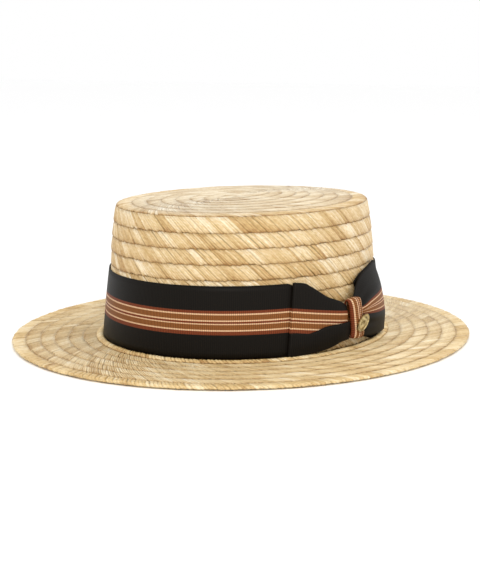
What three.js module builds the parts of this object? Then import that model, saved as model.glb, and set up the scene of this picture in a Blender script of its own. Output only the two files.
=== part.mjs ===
// A straw boater hat: a flat-topped oval crown and a level oval brim of sewn straw braid,
// a ribbon round the crown and a pinched ribbon bow on the wearer's left.
//
// Millimetres. +Z is up, the front of the hat faces -Y and the wearer's left is +X.
// The origin is on the surface the brim rests on, under the middle of the oval.

import * as THREE from 'three';

// ---- Driving sizes ----------------------------------------------------------------

// The crown's outer face, from its foot to the edge of its tip: half the width from side
// to side, and half the length from front to back.
const CROWN_OUTLINE = [
  { height: 0.0, halfWidth: 89.8, halfLength: 101.3 },
  { height: 3.6, halfWidth: 89.4, halfLength: 101.0 },
  { height: 48.0, halfWidth: 84.0, halfLength: 97.2 },
  { height: 70.0, halfWidth: 80.8, halfLength: 96.4 },
  { height: 90.4, halfWidth: 77.2, halfLength: 95.4 },
];
const TIP_EDGE_HEIGHT = 90.4;
const TIP_CENTRE_HEIGHT = 93.4;
const CROWN_FOOT_HEIGHT = 0.4;

const BRIM_HALF_WIDTH = 148.4;
const BRIM_HALF_LENGTH = 162.4;

const STRAW_WALL = 2.1;
const STRAW_ROW = 9.6;
const FIRST_SIDE_ROW = 11.2;
const SIDE_STEP = 0.7;
const STEP_SLANT = 0.2;
const TIP_STEP = 0.45;
const TIP_STEP_SLANT = 0.004;
const TIP_ROWS = 8;

// The shoulder turns from the tip to the side within these shares of the tip's width.
const TIP_ROWS_END = 0.955;
const SHOULDER_START = 0.985;
const SHOULDER_DROP = 1.4;
const INNER_SHOULDER = { share: 0.94, drop: 0.6, depth: 6 };
const INNER_TIP_SHARE = 0.6;

const BRIM_THICKNESS = 2.6;
const BRIM_STEP = 0.5;
const BRIM_ROWS = 6;
const BRIM_EDGE_THICKNESS = 3.1;
const BRIM_COLLAR_WIDTH = 4.0;
const BRIM_COLLAR_HEIGHT = 3.2;
const BRIM_COLLAR_ROUNDING = 0.8;
const BRIM_STEP_SLANT = 0.3;

// The rounding of the brim's edge: how far in from the edge, and how high, each point is.
const BRIM_EDGE = [
  { inward: 2.6, height: BRIM_EDGE_THICKNESS },
  { inward: 0.7, height: BRIM_EDGE_THICKNESS - 0.3 },
  { inward: 0.0, height: BRIM_EDGE_THICKNESS - 1.1 },
  { inward: 0.0, height: 0.9 },
  { inward: 0.8, height: 0.0 },
];

const BAND_LOW = 3.6;
const BAND_HIGH = 48.0;
const RIBBON_THICKNESS = 1.0;
const SEWN_GAP = 0.3;

const OVAL_SEGMENTS = 64;
const BAND_SEGMENTS = 96;

// The bow sits on the crown's left side, a little ahead of the middle. Angles round the
// crown count from the wearer's left towards the rear, in degrees, and turn is the angle
// from the knot.
const KNOT_ANGLE = -7.5;

// How the band narrows to a neck behind the bow: the heights of its lower and upper edges.
const BAND_NECK = [
  { turn: -27, low: BAND_LOW, high: BAND_HIGH },
  { turn: -22, low: 4.2, high: 44.5 },
  { turn: -15, low: 5.8, high: 37.0 },
  { turn: -7, low: 8.2, high: 29.5 },
  { turn: 0, low: 10.0, high: 27.0 },
  { turn: 5, low: 9.0, high: 33.0 },
  { turn: 10, low: 6.4, high: 42.0 },
  { turn: 16, low: BAND_LOW, high: BAND_HIGH },
];

// A wing's sections, from inside the knot to the outer fold: where each section's lower and
// upper ends stand, their heights, and how far the front layer stands off the crown at
// its lower edge, middle and upper edge, with back the same for the back layer.
const FRONT_WING = [
  { lowTurn: -2.4, highTurn: -2.4, low: 12.0, high: 29.6, lower: 6.4, middle: 7.4, upper: 6.0, back: 3.5 },
  { lowTurn: -4.1, highTurn: -4.1, low: 11.6, high: 29.8, lower: 6.2, middle: 7.4, upper: 5.6, back: 3.2 },
  { lowTurn: -5.4, highTurn: -5.4, low: 7.8, high: 31.4, lower: 5.6, middle: 7.4, upper: 5.0, back: 2.2 },
  { lowTurn: -10.0, highTurn: -10.0, low: 6.4, high: 35.0, lower: 5.0, middle: 6.8, upper: 4.2, back: 1.6 },
  { lowTurn: -16.0, highTurn: -16.0, low: 4.8, high: 41.2, lower: 4.4, middle: 5.8, upper: 3.8, back: 1.6 },
  { lowTurn: -22.0, highTurn: -22.0, low: 3.8, high: 46.8, lower: 4.0, middle: 5.0, upper: 3.6, back: 1.6 },
  { lowTurn: -26.4, highTurn: -26.4, low: 3.2, high: 48.4, lower: 3.8, middle: 4.4, upper: 3.6, back: 1.6 },
];
const BACK_WING = [
  { lowTurn: 2.4, highTurn: 2.4, low: 12.0, high: 29.6, lower: 6.4, middle: 7.4, upper: 6.0, back: 3.5 },
  { lowTurn: 4.1, highTurn: 4.1, low: 11.6, high: 30.6, lower: 6.2, middle: 7.8, upper: 5.6, back: 3.2 },
  { lowTurn: 5.6, highTurn: 4.3, low: 7.8, high: 37.0, lower: 5.8, middle: 8.0, upper: 4.6, back: 2.2 },
  { lowTurn: 9.0, highTurn: 5.0, low: 6.4, high: 46.6, lower: 5.6, middle: 8.2, upper: 3.6, back: 1.6 },
  { lowTurn: 15.0, highTurn: 11.0, low: 5.0, high: 49.8, lower: 5.4, middle: 8.2, upper: 3.4, back: 1.6 },
  { lowTurn: 21.5, highTurn: 19.0, low: 4.0, high: 51.4, lower: 5.2, middle: 7.8, upper: 3.4, back: 1.6 },
  { lowTurn: 26.6, highTurn: 26.0, low: 3.2, high: 52.2, lower: 5.0, middle: 7.2, upper: 3.4, back: 1.6 },
];
const WING_LAYER = 1.0;
const WING_BACK_LAYER = 0.6;
const WING_STEPS = 4;
const FOLD_TURN = 0.9;
const FOLD_INSIDE = 0.35;

const KNOT_HEIGHT = 21.2;
const KNOT_TALL = 27.0;
const KNOT_HALF_TURN = 3.7;
const KNOT_BACK = 1.7;
const KNOT_FRONT = 10.6;
const KNOT_LAYER = 1.3;
const KNOT_WAIST = 0.5;
const KNOT_SQUARENESS = 4;
const KNOT_SEGMENTS = 28;

const PIN_LENGTH = 13.0;
const PIN_WIDTH = 8.0;
const PIN_THICKNESS = 1.8;
const PIN_LEAN = 35;
const PIN_TURN = 1.6;
const PIN_HEIGHT = 17.6;

// The pin's half section, from the middle of its flat back round to the top of its dome,
// as shares of its half width and its thickness.
const PIN_SECTION = [
  { out: 0, up: 0 },
  { out: 1, up: 0 },
  { out: 1, up: 0.35 },
  { out: 0.8, up: 0.72 },
  { out: 0.45, up: 0.93 },
  { out: 0, up: 1 },
];
const PIN_SEGMENTS = 24;

// ---- Materials --------------------------------------------------------------------

function finish(color, roughness, metalness) {
  return new THREE.MeshStandardMaterial({ color, roughness, metalness });
}
const STRAW = finish('#e0c491', 0.55, 0);
const BRIM_STRAW = finish('#d8b984', 0.6, 0);
const BAND_RIBBON = finish('#241f1c', 0.8, 0);
const WING_RIBBON = finish('#2a2420', 0.8, 0);
const KNOT_RIBBON = finish('#9a6a44', 0.8, 0);
const BRASS = finish('#8f7a45', 0.4, 1);

// ---- The oval of the crown --------------------------------------------------------

// The outline's half width and half length at a height, straight between its rows.
function outlineAt(height) {
  const last = CROWN_OUTLINE.length - 1;
  let row = 1;
  while (row < last && CROWN_OUTLINE[row].height < height) row += 1;
  const below = CROWN_OUTLINE[row - 1];
  const above = CROWN_OUTLINE[row];
  const share = (height - below.height) / (above.height - below.height);
  return {
    halfWidth: THREE.MathUtils.lerp(below.halfWidth, above.halfWidth, share),
    halfLength: THREE.MathUtils.lerp(below.halfLength, above.halfLength, share),
  };
}

// A point on the crown's side, so many millimetres off its outer face.
function crownPoint(turn, height, proud) {
  const { halfWidth, halfLength } = outlineAt(height);
  const angle = THREE.MathUtils.degToRad(KNOT_ANGLE + turn);
  return new THREE.Vector3(
    (halfWidth + proud) * Math.cos(angle),
    (halfLength + proud) * Math.sin(angle),
    height,
  );
}

// ---- Turned ovals -----------------------------------------------------------------

// A closed profile, listed over the outer face and back along the inner one, turned round Z
// and then stretched front to back, each profile point by its own share, so that a wall
// keeps its thickness all the way round the oval.
function ovalTurning(outerFirst, material, name) {
  const profile = [...outerFirst].reverse();
  const outline = profile.map((p) => new THREE.Vector2(p.halfWidth, p.height));
  const geometry = new THREE.LatheGeometry(outline, OVAL_SEGMENTS);
  geometry.rotateX(Math.PI / 2);
  const places = geometry.attributes.position;
  for (let i = 0; i < places.count; i += 1) {
    const point = profile[i % profile.length];
    const stretch = point.halfWidth > 0 ? point.halfLength / point.halfWidth : 1;
    places.setY(i, places.getY(i) * stretch);
  }
  geometry.computeVertexNormals();
  const mesh = new THREE.Mesh(geometry, material);
  mesh.name = name;
  return mesh;
}

function sidePoint(height, inset) {
  const { halfWidth, halfLength } = outlineAt(height);
  return { height, halfWidth: halfWidth - inset, halfLength: halfLength - inset };
}

// The tip is a shallow dome over the same oval.
function tipPoint(share, drop) {
  const edge = outlineAt(TIP_EDGE_HEIGHT);
  const halfWidth = edge.halfWidth * share;
  const rise = (TIP_CENTRE_HEIGHT - TIP_EDGE_HEIGHT) * (1 - share * share);
  const stretched = edge.halfLength - edge.halfWidth;
  return {
    height: TIP_EDGE_HEIGHT + rise - drop,
    halfWidth,
    halfLength: halfWidth > 0 ? halfWidth + stretched : 0,
  };
}

// ---- Crown ------------------------------------------------------------------------

// Rows of braid overlap outwards over the tip and downwards on the side, like shingles.
function tipRows() {
  const points = [tipPoint(0, 0)];
  for (let row = 1; row <= TIP_ROWS; row += 1) {
    const share = (TIP_ROWS_END * row) / TIP_ROWS;
    points.push(tipPoint(share, 0));
    if (row < TIP_ROWS) points.push(tipPoint(share + TIP_STEP_SLANT, TIP_STEP));
  }
  return points;
}

function sideRows() {
  const points = [];
  let top = TIP_EDGE_HEIGHT - SHOULDER_DROP;
  let foot = TIP_EDGE_HEIGHT - FIRST_SIDE_ROW;
  points.push(sidePoint(top, 0));
  while (top > CROWN_FOOT_HEIGHT) {
    points.push(sidePoint(foot, 0));
    if (foot > CROWN_FOOT_HEIGHT) points.push(sidePoint(foot - STEP_SLANT, SIDE_STEP));
    top = foot;
    foot = Math.max(top - STRAW_ROW, CROWN_FOOT_HEIGHT);
  }
  return points;
}

function crown() {
  const sideInset = STRAW_WALL + SIDE_STEP;
  const tipDrop = STRAW_WALL + TIP_STEP;
  const profile = [
    ...tipRows(),
    tipPoint(SHOULDER_START, TIP_STEP),
    ...sideRows(),
    sidePoint(CROWN_FOOT_HEIGHT, sideInset),
    sidePoint(BAND_HIGH, sideInset),
    sidePoint(TIP_EDGE_HEIGHT - INNER_SHOULDER.depth, sideInset),
    tipPoint(INNER_SHOULDER.share, tipDrop + INNER_SHOULDER.drop),
    tipPoint(INNER_TIP_SHARE, tipDrop),
    tipPoint(0, tipDrop),
  ];
  return ovalTurning(profile, STRAW, 'crown');
}

// ---- Brim -------------------------------------------------------------------------

// A place on the brim by its share of the way from the crown to the edge.
function brimPoint(share, height) {
  const hole = outlineAt(0);
  return {
    height,
    halfWidth: THREE.MathUtils.lerp(hole.halfWidth + SEWN_GAP, BRIM_HALF_WIDTH, share),
    halfLength: THREE.MathUtils.lerp(hole.halfLength + SEWN_GAP, BRIM_HALF_LENGTH, share),
  };
}

// The collar round the foot of the crown, then rows stepping down outwards to the edge.
function brim() {
  const width = BRIM_HALF_WIDTH - outlineAt(0).halfWidth - SEWN_GAP;
  const share = (millimetres) => millimetres / width;
  const collar = share(BRIM_COLLAR_WIDTH);
  const rounding = share(BRIM_COLLAR_ROUNDING);
  const profile = [
    brimPoint(0, 0),
    brimPoint(0, BRIM_COLLAR_HEIGHT - BRIM_COLLAR_ROUNDING),
    brimPoint(rounding, BRIM_COLLAR_HEIGHT),
    brimPoint(collar - rounding, BRIM_COLLAR_HEIGHT),
    brimPoint(collar, BRIM_THICKNESS - BRIM_STEP),
  ];
  const rowShare = (1 - collar) / BRIM_ROWS;
  for (let row = 1; row < BRIM_ROWS; row += 1) {
    const foot = collar + row * rowShare;
    profile.push(brimPoint(foot, BRIM_THICKNESS));
    profile.push(brimPoint(foot + share(BRIM_STEP_SLANT), BRIM_THICKNESS - BRIM_STEP));
  }
  const edge = BRIM_EDGE.map((point) => brimPoint(1 - share(point.inward), point.height));
  return ovalTurning([...profile, ...edge, brimPoint(0, 0)], BRIM_STRAW, 'brim');
}

// ---- Ribbon walls -----------------------------------------------------------------

// A solid swept through sections, each a ring of the same number of corners. Where the
// sweep closes on itself it has no ends; otherwise each end gets a flat cap.
function sweptSolid(sections, closed, material, name) {
  const corners = sections[0].length;
  const positions = sections.flat().flatMap((p) => [p.x, p.y, p.z]);
  const faces = [];
  const steps = closed ? sections.length : sections.length - 1;
  for (let i = 0; i < steps; i += 1) {
    const here = i * corners;
    const next = ((i + 1) % sections.length) * corners;
    for (let j = 0; j < corners; j += 1) {
      const k = (j + 1) % corners;
      faces.push(here + j, next + j, next + k);
      faces.push(here + j, next + k, here + k);
    }
  }
  if (!closed) {
    const last = (sections.length - 1) * corners;
    for (let j = 1; j < corners - 1; j += 1) {
      faces.push(0, j, j + 1);
      faces.push(last, last + j + 1, last + j);
    }
  }
  if (enclosedVolume(positions, faces) < 0) faces.reverse();
  const geometry = new THREE.BufferGeometry();
  geometry.setAttribute('position', new THREE.Float32BufferAttribute(positions, 3));
  geometry.setIndex(faces);
  geometry.computeVertexNormals();
  const mesh = new THREE.Mesh(geometry, material);
  mesh.name = name;
  return mesh;
}

// Six times the volume, negative where the faces point inwards.
function enclosedVolume(positions, faces) {
  const corner = (i) => new THREE.Vector3().fromArray(positions, faces[i] * 3);
  let volume = 0;
  for (let i = 0; i < faces.length; i += 3) {
    volume += corner(i).dot(corner(i + 1).cross(corner(i + 2)));
  }
  return volume;
}

function rowBetween(table, key, at, column) {
  if (at <= table[0][key]) return table[0][column];
  for (let i = 1; i < table.length; i += 1) {
    const [before, after] = [table[i - 1], table[i]];
    if (at <= after[key]) {
      const share = (at - before[key]) / (after[key] - before[key]);
      return THREE.MathUtils.lerp(before[column], after[column], share);
    }
  }
  return table[table.length - 1][column];
}

function hatband() {
  const sections = [];
  for (let i = 0; i < BAND_SEGMENTS; i += 1) {
    const turn = (i / BAND_SEGMENTS) * 360 - 180;
    const low = rowBetween(BAND_NECK, 'turn', turn, 'low');
    const high = rowBetween(BAND_NECK, 'turn', turn, 'high');
    const inside = SEWN_GAP;
    const outside = SEWN_GAP + RIBBON_THICKNESS;
    sections.push([
      crownPoint(turn, low, inside),
      crownPoint(turn, high, inside),
      crownPoint(turn, high, outside),
      crownPoint(turn, low, outside),
    ]);
  }
  return sweptSolid(sections, true, BAND_RIBBON, 'hatband');
}

// ---- Bow --------------------------------------------------------------------------

// A parabola through its values at 0, a half and 1.
function arched(lower, middle, upper, up) {
  const bend = 2 * (lower + upper - 2 * middle);
  return lower + (upper - lower - bend) * up + bend * up * up;
}

function wingEdge(section, up, proud) {
  return crownPoint(
    THREE.MathUtils.lerp(section.lowTurn, section.highTurn, up),
    THREE.MathUtils.lerp(section.low, section.high, up),
    proud,
  );
}

// A ring of corners up one face of a ribbon layer and down the other.
function layerRing(section, outer, inner) {
  const ups = Array.from({ length: WING_STEPS + 1 }, (_, i) => i / WING_STEPS);
  const there = ups.map((up) => wingEdge(section, up, outer(up)));
  const back = [...ups].reverse().map((up) => wingEdge(section, up, inner(up)));
  return [...there, ...back];
}

// A wing is one folded ribbon: a back layer close to the band, the outer fold, and a
// front layer that comes back to the knot.
function wing(table, material, name) {
  const face = (section) => (up) => arched(section.lower, section.middle, section.upper, up);
  const backLayers = table.map((section) => {
    const against = section.back;
    return layerRing(section, () => against, () => against + WING_BACK_LAYER);
  });
  const frontLayers = table.map((section) => {
    const front = face(section);
    return layerRing(section, front, (up) => front(up) - WING_LAYER);
  });
  const end = table[table.length - 1];
  const outward = Math.sign(end.lowTurn) * FOLD_TURN;
  const foldAt = (along) => ({
    ...end,
    lowTurn: end.lowTurn + outward * along,
    highTurn: end.highTurn + outward * along,
  });
  const halfway = (up) => (end.back + WING_BACK_LAYER + face(end)(up) - WING_LAYER) / 2;
  const outerRing = layerRing(foldAt(1), halfway, halfway).slice(0, WING_STEPS + 1);
  const innerRing = layerRing(foldAt(FOLD_INSIDE), halfway, halfway).slice(WING_STEPS + 1);
  return sweptSolid(
    [...backLayers, [...outerRing, ...innerRing], ...frontLayers.reverse()],
    false,
    material,
    name,
  );
}

// The knot is a short ribbon wrapped over both wings: a rounded square loop seen from the
// front of the hat, a little narrower at its middle.
function bowKnot() {
  const across = [-1, -0.5, 0, 0.5, 1];
  const squared = (x) => Math.sign(x) * Math.abs(x) ** (2 / KNOT_SQUARENESS);
  const loopPoint = (angle, side, inset) => {
    const depth = (KNOT_FRONT - KNOT_BACK) / 2 - inset;
    const rise = KNOT_TALL / 2 - inset;
    const outward = squared(Math.cos(angle)) * depth;
    const waist = outward > 0 ? KNOT_WAIST * (1 - side * side) : 0;
    const turn = side * KNOT_HALF_TURN;
    const height = KNOT_HEIGHT + squared(Math.sin(angle)) * rise;
    return crownPoint(turn, height, (KNOT_FRONT + KNOT_BACK) / 2 + outward - waist);
  };
  const sections = [];
  for (let i = 0; i < KNOT_SEGMENTS; i += 1) {
    const angle = (i / KNOT_SEGMENTS) * 2 * Math.PI;
    sections.push([
      ...across.map((side) => loopPoint(angle, side, 0)),
      ...[...across].reverse().map((side) => loopPoint(angle, side, KNOT_LAYER)),
    ]);
  }
  return sweptSolid(sections, true, KNOT_RIBBON, 'bow_knot');
}

// A plain oval pin with a flat back and a low dome, leaning on the face of the knot.
function brassPin() {
  const outline = PIN_SECTION.map(({ out, up }) => new THREE.Vector2(out, up));
  const geometry = new THREE.LatheGeometry(outline, PIN_SEGMENTS);
  geometry.scale(PIN_WIDTH / 2, PIN_THICKNESS, PIN_LENGTH / 2);
  geometry.rotateY(THREE.MathUtils.degToRad(PIN_LEAN));
  const mesh = new THREE.Mesh(geometry, BRASS);
  mesh.name = 'brass_pin';
  const seat = crownPoint(PIN_TURN, PIN_HEIGHT, KNOT_FRONT + SEWN_GAP);
  const outward = crownPoint(PIN_TURN, PIN_HEIGHT, KNOT_FRONT + 1).sub(seat).normalize();
  const up = new THREE.Vector3(0, 0, 1);
  const side = new THREE.Vector3().crossVectors(outward, up).normalize();
  const along = new THREE.Vector3().crossVectors(side, outward);
  mesh.setRotationFromMatrix(new THREE.Matrix4().makeBasis(side, outward, along));
  mesh.position.copy(seat);
  return mesh;
}

// ---- The hat ----------------------------------------------------------------------

const bow = new THREE.Group();
bow.add(wing(FRONT_WING, WING_RIBBON, 'bow_front_wing'));
bow.add(wing(BACK_WING, WING_RIBBON, 'bow_back_wing'));
bow.add(bowKnot());
bow.add(brassPin());

const hat = new THREE.Group();
hat.add(crown());
hat.add(brim());
hat.add(hatband());
hat.add(bow);

export default hat;
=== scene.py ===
"""A straw boater hat made round its construction model: rows of braided straw sewn over
one another, a ribbed ribbon with a striped middle, a pinched bow with a wrapped knot,
and a plain old brass pin. Metres, +Z up, the front of the hat towards -Y."""

import math

import bmesh
import bpy
import numpy as np
from mathutils import Matrix, Vector


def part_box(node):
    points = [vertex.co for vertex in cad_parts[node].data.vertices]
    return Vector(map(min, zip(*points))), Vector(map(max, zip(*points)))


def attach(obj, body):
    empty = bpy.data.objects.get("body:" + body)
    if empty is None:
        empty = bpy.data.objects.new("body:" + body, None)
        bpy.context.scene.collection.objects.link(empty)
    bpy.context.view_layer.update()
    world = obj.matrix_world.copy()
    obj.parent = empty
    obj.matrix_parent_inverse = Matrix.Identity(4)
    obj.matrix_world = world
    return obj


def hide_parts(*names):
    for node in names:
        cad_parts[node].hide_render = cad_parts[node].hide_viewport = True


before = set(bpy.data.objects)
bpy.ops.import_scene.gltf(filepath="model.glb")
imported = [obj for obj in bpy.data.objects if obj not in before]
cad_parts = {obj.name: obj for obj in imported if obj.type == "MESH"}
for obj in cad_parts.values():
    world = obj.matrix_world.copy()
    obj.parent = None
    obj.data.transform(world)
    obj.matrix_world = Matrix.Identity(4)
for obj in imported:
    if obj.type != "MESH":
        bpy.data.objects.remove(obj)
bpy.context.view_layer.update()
MM = 0.001

# ---- Camera, light and floor --------------------------------------------------------

CAMERA_TURN = 34.0
CAMERA_RISE = 9.4
CAMERA_DISTANCE = 0.8675
CAMERA_LENS = 78.6
CAMERA_TARGET = Vector((0.0, 0.0, 0.045))
CAMERA_AIM_BELOW = 1.24
CAMERA_AIM_LEFT = 0.18


def add_camera():
    turn, rise = math.radians(CAMERA_TURN), math.radians(CAMERA_RISE)
    back = Vector((
        math.sin(turn) * math.cos(rise),
        -math.cos(turn) * math.cos(rise),
        math.sin(rise),
    ))
    data = bpy.data.cameras.new("camera")
    data.lens = CAMERA_LENS
    data.sensor_width = 36.0
    data.clip_start = 0.01
    camera = bpy.data.objects.new("camera", data)
    bpy.context.scene.collection.objects.link(camera)
    down = Matrix.Rotation(math.radians(-CAMERA_AIM_BELOW), 4, "X")
    left = Matrix.Rotation(math.radians(CAMERA_AIM_LEFT), 4, "Y")
    facing = (-back).to_track_quat("-Z", "Y").to_matrix().to_4x4()
    place = Matrix.Translation(CAMERA_TARGET + back * CAMERA_DISTANCE)
    camera.matrix_world = place @ facing @ down @ left
    bpy.context.scene.camera = camera


def add_area_light(name, place, aim, size, power, colour):
    data = bpy.data.lights.new(name, "AREA")
    data.shape = "RECTANGLE"
    data.size, data.size_y = size
    data.energy = power
    data.color = colour
    lamp = bpy.data.objects.new(name, data)
    bpy.context.scene.collection.objects.link(lamp)
    lamp.location = place
    lamp.rotation_mode = "QUATERNION"
    lamp.rotation_quaternion = (Vector(aim) - Vector(place)).to_track_quat("-Z", "Y")


def add_studio():
    """A white floor and world, with a key light and a weak light from the right."""
    bpy.ops.mesh.primitive_plane_add(size=12.0, location=(0, 0, -0.0004))
    floor = bpy.context.object
    floor.name = "floor"
    floor.data.materials.append(plain_material("pale_floor", (0.99, 0.99, 0.99), 1.0))
    world = bpy.data.worlds.new("studio")
    world.use_nodes = True
    world.node_tree.nodes["Background"].inputs["Color"].default_value = (1.0, 1.0, 1.0, 1)
    world.node_tree.nodes["Background"].inputs["Strength"].default_value = 1.0
    bpy.context.scene.world = world
    bpy.context.scene.view_settings.view_transform = "Standard"
    hat = (0, 0, 0.05)
    add_area_light("key_light", (0.8, -1.1, 1.15), hat, (0.5, 0.4), 11.0, (1.0, 0.98, 0.95))
    add_area_light("side_light", (1.4, 0.2, 0.8), hat, (0.8, 0.8), 2.5, (1.0, 1.0, 1.0))


# ---- Small helpers ------------------------------------------------------------------

def deselect():
    if bpy.context.object and bpy.context.object.mode != "OBJECT":
        bpy.ops.object.mode_set(mode="OBJECT")
    bpy.ops.object.select_all(action="DESELECT")


def new_material(name):
    """A material with its node tree and the shader in it."""
    material = bpy.data.materials.new(name)
    material.use_nodes = True
    return material, material.node_tree, material.node_tree.nodes["Principled BSDF"]


def plain_material(name, colour, roughness):
    material, _, shader = new_material(name)
    shader.inputs["Base Color"].default_value = (*colour, 1)
    shader.inputs["Roughness"].default_value = roughness
    return material


def fill_ramp(node, stops):
    """Colours at rising places; a new ramp has two elements, and the rest are added."""
    elements = node.color_ramp.elements
    for i, (place, colour) in enumerate(stops):
        element = elements[i] if i < 2 else elements.new(place)
        element.position = place
        element.color = (*colour, 1)


def finish_piece(piece, material, replaces):
    piece.data.materials.append(material)
    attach(piece, "root")
    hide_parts(*replaces)


def mesh_piece(name, points, faces, uvs, shades=None):
    """An object at the origin from arrays; uvs and shades hold one row for each point."""
    mesh = bpy.data.meshes.new(name)
    mesh.from_pydata(points.tolist(), [], faces)
    corner = np.zeros(len(mesh.loops), np.int32)
    mesh.loops.foreach_get("vertex_index", corner)
    layer = mesh.uv_layers.new(name="run")
    layer.data.foreach_set("uv", np.asarray(uvs, np.float32)[corner].ravel())
    if shades is not None:
        layer = mesh.attributes.new("shade", "FLOAT_COLOR", "POINT")
        layer.data.foreach_set("color", np.asarray(shades, np.float32).ravel())
    mesh.polygons.foreach_set("use_smooth", [True] * len(mesh.polygons))
    mesh.update()
    piece = bpy.data.objects.new(name, mesh)
    bpy.context.scene.collection.objects.link(piece)
    return piece


def apply_modifier(piece, kind, **settings):
    deselect()
    bpy.context.view_layer.objects.active = piece
    piece.select_set(True)
    modifier = piece.modifiers.new(kind.lower(), kind)
    for key, value in settings.items():
        setattr(modifier, key, value)
    bpy.ops.object.modifier_apply(modifier=modifier.name)
    deselect()


def smooth_between(xs, ys, at):
    """A smooth curve through the points (xs, ys), with no bumps of its own between them."""
    xs, ys, at = np.asarray(xs, float), np.asarray(ys, float), np.asarray(at, float)
    step = np.diff(xs)
    slope = np.diff(ys) / step
    ends = np.concatenate([[slope[0]], slope, [slope[-1]]])
    before, after = ends[:-1], ends[1:]
    same = before * after > 0
    tangent = np.where(same, 2 * before * after / np.where(same, before + after, 1), 0)
    tangent[0], tangent[-1] = slope[0], slope[-1]
    at = np.clip(at, xs[0], xs[-1])
    i = np.clip(np.searchsorted(xs, at) - 1, 0, len(xs) - 2)
    t = (at - xs[i]) / step[i]
    return (
        (1 + 2 * t) * (1 - t) ** 2 * ys[i]
        + t * (1 - t) ** 2 * step[i] * tangent[i]
        + t * t * (3 - 2 * t) * ys[i + 1]
        + t * t * (t - 1) * step[i] * tangent[i + 1]
    )


def grid_faces(rows, columns):
    """Quads over a grid of points counted row by row."""
    faces = []
    for i in range(rows - 1):
        here, there = i * columns, (i + 1) * columns
        faces += [(here + j, here + j + 1, there + j + 1, there + j) for j in range(columns - 1)]
    return faces


# ---- The hat's ovals, from the construction model ----------------------------------

_, CROWN_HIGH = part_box("crown")
_, BRIM_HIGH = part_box("brim")
BAND_LOW, BAND_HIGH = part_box("hatband")
CROWN_TOP = CROWN_HIGH.z

# The crown's outer face as shares of its height, half width and half length.
CROWN_OUTLINE = {
    "height": (0.0, 0.0385, 0.514, 0.7495, 0.968),
    "width": (1.0, 0.9955, 0.9354, 0.8998, 0.8597),
    "length": (1.0, 0.997, 0.9595, 0.9516, 0.9418),
}
TIP_EDGE = CROWN_OUTLINE["height"][-1] * CROWN_TOP
HOLE_INSET = -0.3 * MM


def crown_oval(height):
    """Half width and half length of the crown's outer face at a height."""
    share = np.asarray(height) / CROWN_TOP
    width = np.interp(share, CROWN_OUTLINE["height"], CROWN_OUTLINE["width"])
    length = np.interp(share, CROWN_OUTLINE["height"], CROWN_OUTLINE["length"])
    return CROWN_HIGH.x * width, CROWN_HIGH.y * length


def side_oval(height, inset=0.0):
    width, length = crown_oval(height)
    return float(width) - inset, float(length) - inset, height


def braid_oval(height):
    """Where a row of braid lies: drawn in under the ribbon and full above it."""
    inset = np.interp(height, (50 * MM, 62 * MM), (WALL_LINE, WALL_LINE - 0.8 * MM))
    return side_oval(height, float(inset))


def tip_oval(share, drop=0.0):
    """An oval on the tip, share of the way out; the braid starts round a short line."""
    width, length = (float(half) for half in crown_oval(TIP_EDGE))
    dome = (CROWN_TOP - TIP_EDGE) * (1 - share * share)
    return width * share, length - width + width * share, TIP_EDGE + dome - drop


def brim_oval(outward, height):
    """An oval on the brim, outward being the distance from its hole."""
    hole_x, hole_y, _ = side_oval(0.0, HOLE_INSET)
    share = outward / (BRIM_HIGH.x - hole_x)
    return (
        hole_x + (BRIM_HIGH.x - hole_x) * share,
        hole_y + (BRIM_HIGH.y - hole_y) * share,
        height,
    )


def crown_point(turn, height, proud):
    """Points on the crown's side; turn is in degrees from the wearer's left to the rear."""
    width, length = crown_oval(height)
    angle = np.radians(turn)
    height = np.asarray(height, float) + 0 * angle
    return np.stack([(width + proud) * np.cos(angle), (length + proud) * np.sin(angle), height], -1)


# ---- Braided straw ------------------------------------------------------------------

STRAW_PITCH = 1.9 * MM
STRAW_SLANT = 9.0 * MM
STRAW_THICK = 0.3 * MM
WALL_LINE = 0.6 * MM
ROW_LAP = 0.1
STRAWS_A_PATCH = 4.2
STRAW_ACROSS = 3
STRAW_ALONG = (0.0, 0.3, 0.62, 0.88, 0.95, 1.0)


def straw_pattern(along):
    """One flat straw, arched across and closed beneath by a keel: its points' shares of
    its width, their heights, and its faces."""
    side = np.append(np.linspace(-0.5, 0.5, STRAW_ACROSS), 0.0)
    rise = np.append(1 - (2 * side[:-1]) ** 2, -1.4)
    ring = len(side)
    faces = []
    for i in range(len(along) - 1):
        for j in range(ring):
            k = (j + 1) % ring
            here, there = i * ring, (i + 1) * ring
            faces.append((here + j, there + j, there + k, here + k))
    faces.append(tuple(range(ring)))
    faces.append(tuple(reversed([(len(along) - 1) * ring + j for j in range(ring)])))
    return side, rise, faces


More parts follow.
